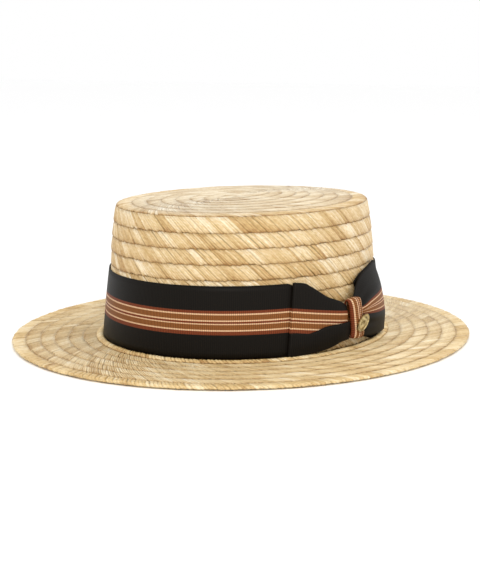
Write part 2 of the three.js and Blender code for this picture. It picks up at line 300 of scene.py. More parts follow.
class Row:
    """A sewn row of braid between an inner and an outer oval, or over several ovals."""

    def __init__(self, *ovals):
        self.ovals = np.array(ovals)
        gaps = np.linalg.norm(np.diff(self.ovals[:, [0, 2]], axis=0), axis=1)
        self.stops = np.concatenate([[0], np.cumsum(gaps)]) / gaps.sum()
        width, length, _ = self.oval(np.array([0.5]))
        angles = np.linspace(0, 2 * math.pi, 721)
        ring = np.stack([width * np.cos(angles), length * np.sin(angles)], -1)
        steps = np.linalg.norm(np.diff(ring, axis=0), axis=1)
        self.arc = np.concatenate([[0], np.cumsum(steps)])
        self.angles = angles
        self.around = self.arc[-1]

    def oval(self, across):
        inside = np.clip(across, 0, 1)
        values = [np.interp(inside, self.stops, self.ovals[:, k]) for k in range(3)]
        over = across - inside
        last = self.ovals[-1] - self.ovals[-2]
        first = self.ovals[1] - self.ovals[0]
        push = np.where(over > 0, over, 0), np.where(over < 0, over, 0)
        return [values[k] + push[0] * last[k] + push[1] * first[k] for k in range(3)]

    def place(self, run, across, proud):
        """Points at a distance round the row and a share across it, proud of the wall."""
        turns = np.floor(run / self.around)
        angle = np.interp(run - turns * self.around, self.arc, self.angles)
        cos, sin = np.cos(angle), np.sin(angle)
        width, length, height = self.oval(across)
        ahead, wide, high = self.oval(across + 0.02)
        point = np.stack([width * cos, length * sin, height], -1)
        out = np.stack([ahead * cos, wide * sin, high], -1) - point
        forward = np.stack([-width * sin, length * cos, np.zeros_like(cos)], -1)
        normal = np.cross(out, forward)
        normal /= np.linalg.norm(normal, axis=-1, keepdims=True)
        return point + normal * proud[..., None]


def straws_on(row, rng, pattern, along, window=None, pitch=STRAW_PITCH, slant=STRAW_SLANT,
              thick=STRAW_THICK, lap=ROW_LAP, lift=(0.05, 0.5), tone_shift=0.0):
    """All the straws of one row: points, fibre coordinates and shades."""
    side, rise, _ = pattern
    count = max(12, round(row.around / pitch))
    pitch = row.around / count
    index = np.arange(count)
    # Neighbouring straws come from one flat plait, so they share a shade and a height.
    plait = (index / STRAWS_A_PATCH + rng.uniform(-0.12, 0.12, count)).astype(int)
    plait_tone = rng.uniform(-1, 1, plait.max() + 1)[plait]
    plait_lift = rng.uniform(0.0, 0.16, plait.max() + 1)[plait] * MM
    jitter = rng.uniform(-0.2, 0.2, count) * pitch
    leaning = slant * rng.uniform(0.95, 1.05, count)
    broad = pitch * rng.uniform(1.3, 1.6, count)
    tip_reach = rng.uniform(-0.055, 0.045, count)
    tilt = rng.uniform(0.05, 0.16, count) * MM
    puff = rng.uniform(0.7, 1.2, count)
    tone = 0.58 + 0.25 * plait_tone + rng.normal(0, 0.09, count) + tone_shift
    seed = rng.uniform(0, 60, (count, 2))
    if window:
        middle = np.degrees(np.interp(index * pitch, row.arc, row.angles))
        middle = (middle + 180) % 360 - 180
        kept = (middle > window[0]) & (middle < window[1])
        each = (index, jitter, leaning, broad, tip_reach, tilt, puff, tone, seed, plait_lift)
        index, jitter, leaning, broad, tip_reach, tilt, puff, tone, seed, plait_lift = (
            values[kept] for values in each
        )
    u = np.asarray(along)[None, :, None]
    w = side[None, None, :]
    scallop = 0.055 * (2 * w) ** 2 * u ** 6
    across = -lap + u * (1 + lap + tip_reach[:, None, None]) - scallop
    run = (
        (index * pitch + jitter)[:, None, None]
        + (across - 0.5) * leaning[:, None, None]
        + w * broad[:, None, None]
    )
    body = np.interp(u, (0, 0.12, 0.9, 0.965, 1.0), (0.25, 1.0, 1.0, 0.72, -0.5))
    arch = rise[None, None, :] * thick * puff[:, None, None] * np.where(body > 0, body, 1)
    base = (lift[0] + (lift[1] - lift[0]) * np.clip(across, 0, 1)) * MM
    base = base + plait_lift[:, None, None]
    proud = base * body + arch + tilt[:, None, None] * w * (body > 0)
    points = row.place(run + 0 * proud, across + 0 * proud, proud)
    fibre = np.stack([
        (across * 11.0 + seed[:, 0, None, None]) + 0 * proud,
        (w * broad[:, None, None] / MM + seed[:, 1, None, None]) + 0 * proud,
    ], -1)
    shade = np.stack([
        np.clip(tone, 0, 1)[:, None, None] + 0 * proud,
        u + 0 * proud,
        np.abs(2 * w) + 0 * proud,
        np.ones_like(proud),
    ], -1)
    return points.reshape(-1, 3), fibre.reshape(-1, 2), shade.reshape(-1, 4), len(index)


def braid(name, rows, seed, material, replaces, along=STRAW_ALONG):
    """Rows of straw as one mesh. Each row is a Row and its own settings."""
    rng = np.random.default_rng(seed)
    pattern = straw_pattern(along)
    size = len(along) * len(pattern[0])
    points, fibres, shades, faces, start = [], [], [], [], 0
    for row, settings in rows:
        p, f, s, count = straws_on(row, rng, pattern, along, **settings)
        points.append(p)
        fibres.append(f)
        shades.append(s)
        for k in range(count):
            faces += [tuple(v + start + k * size for v in face) for face in pattern[2]]
        start += count * size
    piece = mesh_piece(
        name, np.concatenate(points), faces, np.concatenate(fibres), np.concatenate(shades)
    )
    finish_piece(piece, material, replaces)


def straw_material(name, ramp, seam_shadow, seam_shadow_depth):
    """Straw: a shade of colour for each one, long fibres, painted shade on its sides and towards
    each row's lower edge, painted shadow at its ends, a satin gloss.
    """
    material, tree, shader = new_material(name)
    run = tree.nodes.new("ShaderNodeUVMap")
    run.uv_map = "run"
    shade = tree.nodes.new("ShaderNodeAttribute")
    shade.attribute_name = "shade"
    parts = tree.nodes.new("ShaderNodeSeparateColor")
    tree.links.new(shade.outputs["Color"], parts.inputs["Color"])

    def noise(scale, detail, stretch):
        mapping = tree.nodes.new("ShaderNodeMapping")
        mapping.inputs["Scale"].default_value = stretch
        tree.links.new(run.outputs["UV"], mapping.inputs["Vector"])
        node = tree.nodes.new("ShaderNodeTexNoise")
        node.inputs["Scale"].default_value = scale
        node.inputs["Detail"].default_value = detail
        tree.links.new(mapping.outputs["Vector"], node.inputs["Vector"])
        return node.outputs["Fac"]

    def math_node(operation, *values):
        node = tree.nodes.new("ShaderNodeMath")
        node.operation = operation
        for socket, value in zip(node.inputs, values):
            if isinstance(value, (int, float)):
                socket.default_value = value
            else:
                tree.links.new(value, socket)
        return node.outputs["Value"]

    streaks = noise(1.0, 3.0, (0.16, 5.5, 1.0))
    mottle = noise(0.35, 3.0, (1.5, 0.8, 1.0))
    spread = math_node("MULTIPLY_ADD", streaks, 0.34, -0.17)
    patches = math_node("MULTIPLY_ADD", mottle, 0.9, -0.45)
    tone = math_node("ADD", math_node("ADD", parts.outputs["Red"], spread), patches)
    # Each row is painted darker towards its lower, outer edge, as painted shade.
    row_shade = math_node("MULTIPLY", math_node("POWER", parts.outputs["Green"], 3.0), 0.3)
    tone = math_node("SUBTRACT", tone, row_shade)
    colour = tree.nodes.new("ShaderNodeValToRGB")
    fill_ramp(colour, ramp)
    tree.links.new(tone, colour.inputs["Fac"])
    # Masks for the painted shadow at each straw's lower end and the painted shade on its sides.
    end = math_node("POWER", parts.outputs["Green"], 14.0)
    edge = math_node("POWER", parts.outputs["Blue"], 4.0)
    # Painted shadow: a dark line where each row's lower end lies on the next row, darker dots of
    # painted shadow between the straws' ends, and a little painted shade on each straw's sides.
    notch_shadow = math_node("MULTIPLY", math_node("MULTIPLY", end, edge), 0.5)
    painted_shade = math_node("MULTIPLY_ADD", end, seam_shadow_depth, math_node("MULTIPLY", edge, 0.12))
    painted_shade = math_node("MINIMUM", math_node("ADD", painted_shade, notch_shadow), 1.0)
    mix = tree.nodes.new("ShaderNodeMix")
    mix.data_type = "RGBA"
    tree.links.new(painted_shade, mix.inputs["Factor"])
    tree.links.new(colour.outputs["Color"], mix.inputs["A"])
    mix.inputs["B"].default_value = (*seam_shadow, 1)
    tree.links.new(mix.outputs["Result"], shader.inputs["Base Color"])
    rough = math_node("MULTIPLY_ADD", streaks, 0.3, 0.28)
    tree.links.new(rough, shader.inputs["Roughness"])
    shader.inputs["Specular IOR Level"].default_value = 0.55
    bump = tree.nodes.new("ShaderNodeBump")
    bump.inputs["Strength"].default_value = 0.35
    bump.inputs["Distance"].default_value = 0.08 * MM
    tree.links.new(streaks, bump.inputs["Height"])
    tree.links.new(bump.outputs["Normal"], shader.inputs["Normal"])
    return material


CROWN_RAMP = (
    (0.0, (0.36, 0.19, 0.055)),
    (0.3, (0.53, 0.345, 0.14)),
    (0.6, (0.67, 0.495, 0.26)),
    (0.8, (0.76, 0.61, 0.39)),
    (1.0, (0.84, 0.73, 0.54)),
)
TIP_RAMP = (
    (0.0, (0.42, 0.28, 0.14)),
    (0.3, (0.60, 0.455, 0.27)),
    (0.6, (0.71, 0.585, 0.39)),
    (0.8, (0.80, 0.69, 0.50)),
    (1.0, (0.86, 0.78, 0.62)),
)
BRIM_RAMP = (
    (0.0, (0.42, 0.26, 0.10)),
    (0.3, (0.64, 0.455, 0.215)),
    (0.6, (0.77, 0.60, 0.335)),
    (0.8, (0.85, 0.70, 0.445)),
    (1.0, (0.90, 0.79, 0.58)),
)
EDGE_RAMP = (
    (0.0, (0.40, 0.22, 0.07)),
    (0.3, (0.62, 0.42, 0.175)),
    (0.6, (0.75, 0.56, 0.28)),
    (0.8, (0.83, 0.66, 0.39)),
    (1.0, (0.90, 0.76, 0.51)),
)
# The colour of the painted shadow at the seams and of the painted shade on the straws' sides.
SEAM_SHADOW_COLOUR = (0.24, 0.11, 0.03)

SIDE_FIRST_ROW = 11.2 * MM
SIDE_ROW = 9.6 * MM
TIP_ROWS = 8
BRIM_ROWS = 6
COLLAR = 4.2 * MM
# The part built of a row under the ribbon, in degrees: the gap in the narrowed band, with
# a margin on each side.
BARE_TURNS = (-44, 14)
TIP_MIDDLE = 0.004
INSIDE = 2.3 * MM
INSIDE_PITCH = 3.6 * MM
WALL_INSET = 1.0 * MM
BRIM_UPPER = 1.75 * MM
BRIM_LOWER = 0.75 * MM


def side_rows():
    """The side's rows from the tip's edge down, as pairs of heights."""
    top, rows = TIP_EDGE, []
    foot = top - SIDE_FIRST_ROW
    while foot > 1.5 * MM:
        rows.append((top, foot))
        top, foot = foot, foot - SIDE_ROW
    return rows


def tip_slant(k):
    """How far the straws of the tip's row k lean: less in the short inner rows."""
    return min(STRAW_SLANT, 3 * MM + 2 * MM * k)


def make_crown(straw, tip_straw, wall_straw):
    # Only the rows that the ribbon leaves bare run all the way round; the others show in
    # the gap that the pinched bow leaves.
    rows = []
    for top, foot in side_rows():
        hidden = top < BAND_HIGH.z - 1 * MM
        window = BARE_TURNS if hidden else None
        # The first row starts below the corner, under the edge of the tip's last row.
        top = min(top, TIP_EDGE - 1.4 * MM)
        middle = (top + foot) / 2
        row = Row(braid_oval(top), braid_oval(middle), braid_oval(foot))
        rows.append((row, {"window": window}))
    # The tip's last row rolls over the corner, and its edge is sewn down on the side.
    corner = Row(
        tip_oval(1 - 1 / TIP_ROWS, WALL_LINE), tip_oval(0.96, WALL_LINE),
        tip_oval(0.992, 0.9 * MM), braid_oval(TIP_EDGE - 1.3 * MM),
    )
    rows.append((corner, {"thick": 0.25 * MM, "tone_shift": 0.12}))
    braid("crown_side_braid", rows, 11, straw, replaces=("crown",))
    rows = []
    for k in range(TIP_ROWS - 1):
        row = Row(
            tip_oval(max(k / TIP_ROWS, TIP_MIDDLE), WALL_LINE),
            tip_oval((k + 1) / TIP_ROWS, WALL_LINE),
        )
        rows.append((row, {"slant": tip_slant(k), "lift": (0.05, 0.25), "thick": 0.2 * MM}))
    braid("crown_tip_braid", rows, 12, tip_straw, replaces=("crown",))
    rows = []
    for top, foot in reversed(side_rows()):
        row = Row(side_oval(foot, INSIDE), side_oval(top - 0.8 * MM, INSIDE))
        rows.append((row, {"lift": (0.0, 0.3), "pitch": INSIDE_PITCH}))
    for k in reversed(range(TIP_ROWS)):
        row = Row(
            tip_oval((k + 1) / TIP_ROWS - 0.03, INSIDE),
            tip_oval(max(k / TIP_ROWS - 0.03, TIP_MIDDLE), INSIDE),
        )
        rows.append((row, {"slant": tip_slant(k), "lift": (0.0, 0.3), "pitch": INSIDE_PITCH}))
    braid("crown_inside_braid", rows, 13, straw,
          along=(0.0, 0.3, 0.7, 0.93, 1.0), replaces=("crown",))
    heights = (0.6 * MM, 24 * MM, 48 * MM, 70 * MM, TIP_EDGE - 1.4 * MM)
    ovals = [side_oval(height, WALL_INSET) for height in heights]
    ovals += [tip_oval(share, WALL_INSET) for share in (0.98, 0.7, 0.35, 0.02)]
    wall = oval_shell("crown_wall", ovals, cap=True, thickness=1.1 * MM)
    finish_piece(wall, wall_straw, ("crown",))


def make_brim(straw, edge_straw, wall_straw):
    edge = BRIM_HIGH.x - side_oval(0.0, HOLE_INSET)[0] + 1.3 * MM
    pitch = (edge - COLLAR) / BRIM_ROWS
    stops = [COLLAR + k * pitch for k in range(BRIM_ROWS + 1)]
    rows = [
        (Row(brim_oval(a, BRIM_UPPER), brim_oval(b, BRIM_UPPER)),
         {"lift": (0.0, 0.32), "thick": 0.22 * MM})
        for a, b in zip(stops[:-2], stops[1:-1])
    ]
    braid("brim_top_braid", rows, 21, straw, replaces=("brim",))
    under = [0.4 * MM] + stops[1:]
    rows = [
        (Row(brim_oval(b, BRIM_LOWER), brim_oval(a, BRIM_LOWER)),
         {"lift": (-0.1, 0.05), "pitch": 3.4 * MM, "thick": 0.25 * MM})
        for a, b in zip(under[:-2], under[1:-1])
    ]
    rows.reverse()
    braid("brim_under_braid", rows, 22, straw,
          along=(0.0, 0.2, 0.6, 0.93, 1.0), replaces=("brim",))
    last = stops[-2]
    rim = Row(
        brim_oval(last, BRIM_UPPER), brim_oval(edge - 2.6 * MM, BRIM_UPPER + 0.25 * MM),
        brim_oval(edge - 0.9 * MM, 2.05 * MM), brim_oval(edge - 0.7 * MM, 1.0 * MM),
        brim_oval(edge - 1.8 * MM, 0.7 * MM), brim_oval(last, BRIM_LOWER),
    )
    collar = Row(
        brim_oval(0.3 * MM, 1.4 * MM), brim_oval(0.8 * MM, 2.8 * MM),
        brim_oval(2.2 * MM, 3.3 * MM), brim_oval(4.0 * MM, 2.8 * MM), brim_oval(5.2 * MM, 2.0 * MM),
    )
    fine = (0.0, 0.1, 0.22, 0.34, 0.42, 0.5, 0.58, 0.7, 0.85, 1.0)
    braid("brim_edge_braid", [(rim, {"pitch": 2.4 * MM, "slant": 8 * MM, "lift": (0.0, 0.0),
                                     "lap": 0.03})],
          23, edge_straw, along=fine, replaces=("brim",))
    braid("brim_collar_braid", [(collar, {"pitch": 2.3 * MM, "slant": 4.0 * MM, "thick": 0.45 * MM,
                                          "lift": (0.0, 0.0), "lap": 0.02})],
          24, edge_straw, along=fine, replaces=("brim",))
    outwards = (0.1 * MM, COLLAR, edge * 0.5, edge - 1.2 * MM)
    ovals = [brim_oval(outward, BRIM_UPPER) for outward in outwards]
    wall = oval_shell("brim_wall", ovals, cap=False, thickness=1.0 * MM)
    finish_piece(wall, wall_straw, ("brim",))


def oval_shell(name, ovals, cap, thickness):
    """A wall drawn up through ovals from a circle, by extruding and resizing its rim."""
    deselect()
    width, length, height = ovals[0]
    bpy.ops.mesh.primitive_circle_add(vertices=128, radius=1, location=(0, 0, height))
    shell = bpy.context.object
    shell.name = name
    bpy.ops.object.mode_set(mode="EDIT")
    bpy.ops.mesh.select_all(action="SELECT")
    bpy.ops.transform.resize(value=(width, length, 1), center_override=(0, 0, height))
    for wide, long, high in ovals[1:]:
        bpy.ops.mesh.extrude_edges_move()
        bpy.ops.transform.translate(value=(0, 0, high - height))
        bpy.ops.transform.resize(
            value=(wide / width, long / length, 1), center_override=(0, 0, high)
        )
        width, length, height = wide, long, high
    if cap:
        bpy.ops.mesh.edge_face_add()
    bpy.ops.mesh.select_all(action="SELECT")
    bpy.ops.mesh.normals_make_consistent(inside=False)
    bpy.ops.object.mode_set(mode="OBJECT")
    bpy.ops.object.transform_apply(location=True, rotation=True, scale=True)
    if sum(p.normal.z for p in shell.data.polygons) < 0:
        shell.data.flip_normals()
    bpy.ops.object.shade_smooth()
    apply_modifier(shell, "SOLIDIFY", thickness=thickness, offset=-1.0)
    return shell


def wall_material():
    """The shadowed straw seen between the rows."""
    material, tree, shader = new_material("straw_behind")
    place = tree.nodes.new("ShaderNodeTexCoord")
    noise = tree.nodes.new("ShaderNodeTexNoise")
    noise.inputs["Scale"].default_value = 900.0
    colour = tree.nodes.new("ShaderNodeValToRGB")
    fill_ramp(colour, ((0.0, (0.34, 0.19, 0.06)), (1.0, (0.52, 0.34, 0.14))))
    tree.links.new(place.outputs["Object"], noise.inputs["Vector"])
    tree.links.new(noise.outputs["Fac"], colour.inputs["Fac"])
    tree.links.new(colour.outputs["Color"], shader.inputs["Base Color"])
    shader.inputs["Roughness"].default_value = 0.7
    return material


# ---- Ribbon -------------------------------------------------------------------------

RIBBON_WIDTH = 45 * MM
BLACK = (0.0062, 0.0047, 0.0032)
DARK_RED = (0.155, 0.036, 0.013)
CREAM = (0.62, 0.40, 0.235)
BROWN = (0.20, 0.072, 0.020)
STRIPES_START, STRIPES_END = 0.335, 0.665
# The ribbon's colours from its upper edge to its lower one, each with the share of the
# ribbon's width where it starts.
RIBBON_CHART = (
    (0.0, BLACK), (STRIPES_START, DARK_RED), (0.374, CREAM), (0.393, BROWN), (0.4625, CREAM),
    (0.481, DARK_RED), (0.5085, CREAM), (0.527, BROWN), (0.5965, CREAM), (0.6155, DARK_RED),
    (STRIPES_END, BLACK),
)
RIB_PITCH = 1.25 * MM


def ribbon_material(name):
    """Ribbed ribbon: the chart's colours across it, fine ribs with flecks in them, and painted
    light and shade on the ribs.
    """
    material, tree, shader = new_material(name)
    run = tree.nodes.new("ShaderNodeUVMap")
    run.uv_map = "run"
    parts = tree.nodes.new("ShaderNodeSeparateXYZ")
    tree.links.new(run.outputs["UV"], parts.inputs["Vector"])
    chart = tree.nodes.new("ShaderNodeValToRGB")
    chart.color_ramp.interpolation = "CONSTANT"
    fill_ramp(chart, RIBBON_CHART)
    tree.links.new(parts.outputs["Y"], chart.inputs["Fac"])
    # Ribs run across the ribbon; the coloured yarns show through them as flecks, and the ribs'
    # ridges and grooves are painted lighter and darker as painted light and shade.
    ribs = tree.nodes.new("ShaderNodeTexWave")
    ribs.bands_direction = "X"
    ribs.inputs["Scale"].default_value = 1.0
    ribs.inputs["Distortion"].default_value = 0.0
    stretch = tree.nodes.new("ShaderNodeMapping")
    # The wave texture repeats every pi / 10 units at this scale.
    stretch.inputs["Scale"].default_value = (math.pi / 10 / RIB_PITCH, 0.0, 0.0)
    tree.links.new(run.outputs["UV"], stretch.inputs["Vector"])
    tree.links.new(stretch.outputs["Vector"], ribs.inputs["Vector"])
    flecks = tree.nodes.new("ShaderNodeTexNoise")
    flecks.inputs["Scale"].default_value = 1.0
    flecks.inputs["Detail"].default_value = 2.0
    fine = tree.nodes.new("ShaderNodeMapping")
    fine.inputs["Scale"].default_value = (1500.0, 90.0, 1.0)
    tree.links.new(run.outputs["UV"], fine.inputs["Vector"])
    tree.links.new(fine.outputs["Vector"], flecks.inputs["Vector"])
    shading = tree.nodes.new("ShaderNodeMath")
    shading.operation = "MULTIPLY"
    tree.links.new(ribs.outputs["Fac"], shading.inputs[0])
    tree.links.new(flecks.outputs["Fac"], shading.inputs[1])
    # Painted light and shade of the ribs, times the yarn flecks, scales the chart's colours by 0.58
    # to 1.5.
    painted_rib_light_and_flecks = tree.nodes.new("ShaderNodeMapRange")
    painted_rib_light_and_flecks.inputs["From Max"].default_value = 0.62
    painted_rib_light_and_flecks.inputs["To Min"].default_value = 0.58
    painted_rib_light_and_flecks.inputs["To Max"].default_value = 1.5
    tree.links.new(shading.outputs["Value"], painted_rib_light_and_flecks.inputs["Value"])
    chart_times_rib_light = tree.nodes.new("ShaderNodeMix")
    chart_times_rib_light.data_type = "RGBA"
    chart_times_rib_light.blend_type = "MULTIPLY"
    chart_times_rib_light.inputs["Factor"].default_value = 1.0
    tree.links.new(chart.outputs["Color"], chart_times_rib_light.inputs["A"])
    tree.links.new(painted_rib_light_and_flecks.outputs["Result"], chart_times_rib_light.inputs["B"])
    tree.links.new(chart_times_rib_light.outputs["Result"], shader.inputs["Base Color"])
    shader.inputs["Roughness"].default_value = 0.5
    shader.inputs["Specular IOR Level"].default_value = 0.09
    bump = tree.nodes.new("ShaderNodeBump")
    bump.inputs["Strength"].default_value = 0.4
    bump.inputs["Distance"].default_value = 0.1 * MM
    tree.links.new(ribs.outputs["Fac"], bump.inputs["Height"])
    tree.links.new(bump.outputs["Normal"], shader.inputs["Normal"])
    return material


KNOT_TURN = -7.5
BAND_PROUD = 0.9 * MM
# The mean radius that turns the band's angles into lengths of ribbon.
BAND_RADIUS = 0.0962
CLOTH = 0.6 * MM
# Where the wings' hidden back layers lie, out from the crown.
BEHIND_PROUD = 1.75 * MM

# How the band narrows behind the bow: turn from the knot and the heights of its edges.
BAND_NECK = {
    "turn": (-27, -22, -15, -7, 0, 5, 10, 16),
    "low": (3.6, 4.2, 6.0, 8.6, 10.4, 9.4, 6.6, 3.6),
    "high": (48.0, 44.5, 36.5, 29.0, 27.0, 32.0, 41.0, 48.0),
}


def ribbon_sheet(name, grid, uv, material, replaces, thickness=CLOTH):
    """A strip of ribbon from a grid of points, stations along it by rows across it."""
    stations, across = grid.shape[:2]
    faces = grid_faces(stations, across)
    piece = mesh_piece(name, grid.reshape(-1, 3), faces, uv.reshape(-1, 2))
    apply_modifier(piece, "SOLIDIFY", thickness=thickness, offset=0.0)
    finish_piece(piece, material, replaces)
    return piece


def run_along(grid):
    """The distance along the middle row of a grid at each of its stations."""
    steps = np.linalg.norm(np.diff(grid[:, grid.shape[1] // 2], axis=0), axis=1)
    return np.concatenate([[0], np.cumsum(steps)])


def make_band(material):
    turns = np.linspace(KNOT_TURN, KNOT_TURN + 360, 361)
    from_knot = (turns - KNOT_TURN + 180) % 360 - 180
    low = np.interp(from_knot, BAND_NECK["turn"], BAND_NECK["low"]) * MM
    high = np.interp(from_knot, BAND_NECK["turn"], BAND_NECK["high"]) * MM
    rows = np.linspace(0, 1, 13)
    height = high[:, None] + (low - high)[:, None] * rows[None, :]
    # The ribbon's edges press a little closer to the straw than its middle.
    proud = BAND_PROUD + 0.25 * MM * np.sin(math.pi * rows)[None, :] + 0 * height
    grid = crown_point(turns[:, None] + 0 * height, height, proud)
    length = np.radians(turns - KNOT_TURN)[:, None] * BAND_RADIUS + 0 * height
    uv = np.stack([length, (BAND_HIGH.z - height) / (BAND_HIGH.z - BAND_LOW.z)], -1)
    band = ribbon_sheet("hatband_ribbon", grid, uv, material, ("hatband",))


# The front wing from the knot (0) to its outer fold (1), in mm: the heights of its upper
# edge, of its stripes, of the pleat's fold and of its foot, the depth tucked under the
# pleat, how far its body stands out, and how much further the pleat does.
FRONT_WING = {
    "top": ((0, .14, .37, .58, .7, .84, 1), (30.8, 34.2, 37.8, 42.8, 45.4, 47.8, 48.3)),
    "stripe": ((0, 1), (27.8, 33.2)),
    "pleat": ((0, .25, .45, .62, .76, 1), (21.0, 20.6, 20.0, 18.0, 16.8, 18.2)),
    "foot": ((0, .14, .37, .6, .84, 1), (9.6, 9.3, 6.4, 4.8, 4.2, 3.2)),
    "tucked": ((0, .3, .55, .76, 1), (4.0, 3.0, 1.6, 0.05, 0.02)),
    "body": ((0, .15, .4, .7, 1), (6.6, 6.9, 5.6, 4.6, 3.9)),
    "over": ((0, .3, .6, .8, 1), (1.5, 1.3, 0.9, 0.25, 0.0)),
}
FRONT_WING_TURNS = (-3.4, -26.3)
# Degrees by which the outer fold leans for each mm of height, about a middle height.
FOLD_LEAN = 0.085
FOLD_MIDDLE = 24.0


def make_front_wing(material):
    """The forward loop. Its upper edge is turned under towards the knot, and its lower
    black part is folded up over the stripes in one long pleat."""
    share = np.linspace(0, 1, 45)
    knot_side, fold_turn = FRONT_WING_TURNS
    turn = knot_side + (fold_turn - knot_side) * share
    top, stripe, pleat, foot, tucked, body, over = (
        smooth_between(places, values, share) for places, values in FRONT_WING.values()
    )
    width = RIBBON_WIDTH / MM
    # Each row down the wing: its heights, its places in the ribbon's chart, how proud it is.
    rows = []
    edge_value = STRIPES_START - (top - stripe) / width
    for k, (drop, inward) in enumerate(((2.6, 1.5), (0.9, 1.3), (0.1, 0.7))):
        hidden = np.minimum((3 - k) * 0.02, np.maximum(edge_value, 0))
        rows.append((top - drop, edge_value - hidden, body - 0.6 - inward))
    pleat_value = STRIPES_START + (stripe - pleat) / width
    for t in np.linspace(0, 1, 15):
        height = top + (pleat - top) * t
        swell = 0.9 * math.sin(math.pi * min(1, 0.12 + t * 0.9)) - 0.5
        value = edge_value + (pleat_value - edge_value) * t
        rows.append((height, value, body + swell * 0.7))
    for t in (0.4, 0.8, 1.0):
        value = pleat_value + tucked * t / width
        rows.append((pleat - tucked * t, value, body - 0.25 - 0.15 * t))
    lower = STRIPES_END + 0.003
    for t in (0.7, 0.25, 0.0):
        value = lower - tucked * t / width * 0.3
        rows.append((pleat - tucked * t, value, body + over * (1 - 0.45 * t)))
    foot_value = np.minimum(lower + (pleat - foot) / width * 0.96 + 0.004, 0.999)
    for t in np.linspace(0.04, 1, 12):
        height = pleat + (foot - pleat) * t
        fall = over * (1.12 - t) + 0.35 * np.sin(math.pi * t) - 0.9 * t ** 3
        rows.append((height, lower + (foot_value - lower) * t, body + fall))
    # The outer fold leans: its foot lies further from the knot than its head.
    height, value, proud = (np.stack([r[k] + 0 * share for r in rows], 1) for k in range(3))
    turn = turn[:, None] - (FOLD_MIDDLE - height) * FOLD_LEAN * share[:, None] ** 2
    wing_from_layers("bow_front_wing_ribbon", turn, height, value, proud, material,
                     ("bow_front_wing",))


def wing_from_layers(name, turn, height, values, proud, material, replaces):
    """The whole loop: the front layer, the round outer fold and the layer behind."""
    front = crown_point(KNOT_TURN + turn, height * MM, proud * MM)
    end, values_end = front[-1], values[-1]
    heights = end[:, 2]
    flat = turn[-1]
    outward = np.sign(flat[0])
    behind_end = crown_point(KNOT_TURN + flat, heights, BEHIND_PROUD)
    bends = []
    for angle in np.linspace(0, math.pi, 9)[1:-1]:
        lean = 0.5 * (1 + math.cos(angle))
        reach = outward * 1.0 * math.sin(angle)
        base = crown_point(KNOT_TURN + flat + reach, heights, BEHIND_PROUD)
        outer = end + (base - behind_end)
        bends.append(base + (outer - base) * lean)
    back = []
    for share in (1.0, 0.75, 0.5, 0.25):
        i = int(share * (len(front) - 1))
        back.append(crown_point(KNOT_TURN + turn[i], front[i][:, 2], BEHIND_PROUD))
    grid = np.concatenate([front, np.array(bends), np.array(back)])
    values = np.concatenate([values] + [values_end[None]] * (len(bends) + len(back)))
    along = run_along(grid)[:, None] + 0 * values
    uv = np.stack([along, values], -1)
    piece = ribbon_sheet(name, grid, uv, material, replaces, thickness=0.5 * MM)


# The back wing's four guide lines from the knot to the outer fold: its upper edge, the
# two sides of its striped middle and its lower edge.
BACK_WING = {
    "share": (0.0, 0.18, 0.42, 0.7, 1.0),
    "turns": ((0.6, 4.4, 8.4, 15.5, 25.6), (3.6, 7.4, 12.2, 18.8, 26.2),
              (3.6, 7.6, 12.8, 19.2, 26.4), (3.6, 7.6, 13.0, 19.6, 26.6)),
    "heights": ((34.2, 41.5, 46.0, 49.2, 52.0), (27.2, 29.0, 31.4, 33.2, 34.6),
                (23.6, 22.8, 21.8, 20.8, 20.0), (9.4, 8.4, 7.4, 6.6, 6.2)),
    "proud": ((6.4, 4.6, 3.6, 3.0, 2.6), (7.8, 8.4, 8.2, 7.6, 6.2),
              (7.2, 8.0, 8.2, 7.8, 7.0), (5.6, 5.8, 5.6, 5.4, 5.0)),
}
GUIDE_VALUES = (0.0, STRIPES_START, STRIPES_END, 1.0)
# The creases that run out from the knot: their places in the chart and depths in mm.
BACK_CREASES = ((0.2, 0.8), (0.345, 1.3), (0.5, 0.7), (0.66, 1.3), (0.82, 0.9))
CREASE_WIDTH = 0.035


def make_back_wing(material):
    share = np.linspace(0, 1, 41)
    values = np.concatenate([
        np.linspace(0, STRIPES_START, 12), np.linspace(0.37, 0.63, 9),
        np.linspace(STRIPES_END, 1, 12),
    ])

    def lines(table):
        guides = np.stack([smooth_between(BACK_WING["share"], g, share) for g in table], 1)
        return np.stack([smooth_between(GUIDE_VALUES, g, values) for g in guides])

    turn, height, proud = (lines(BACK_WING[k]) for k in ("turns", "heights", "proud"))
    # The creases fade before the outer fold.
    fade = (1 - share[:, None]) ** 1.5
    for value, deep in BACK_CREASES:
        proud = proud - deep * fade * np.exp(-((values[None, :] - value) / CREASE_WIDTH) ** 2)
    wing_from_layers("bow_back_wing_ribbon", turn, height, values + 0 * height, proud, material,
                     ("bow_back_wing",))


# The knot's loop: its middle's height and how far that stands out, half its depth and
# half its height in mm, and its middle's turn and half its width in degrees.
KNOT_HEIGHT = 22.3
KNOT_PROUD = 7.0
KNOT_DEEP = 3.1
KNOT_TALL = 12.2
KNOT_SHIFT = 0.5
KNOT_HALF_WIDTH = 3.6
# How far the ribbon's edges roll in on the wings, in mm.
KNOT_ROLL = 2.6
# The folds down its face: places across, depths in mm and widths.
KNOT_FOLDS = ((-0.32, 0.75, 0.10), (0.22, 0.45, 0.09), (0.62, 0.55, 0.08))


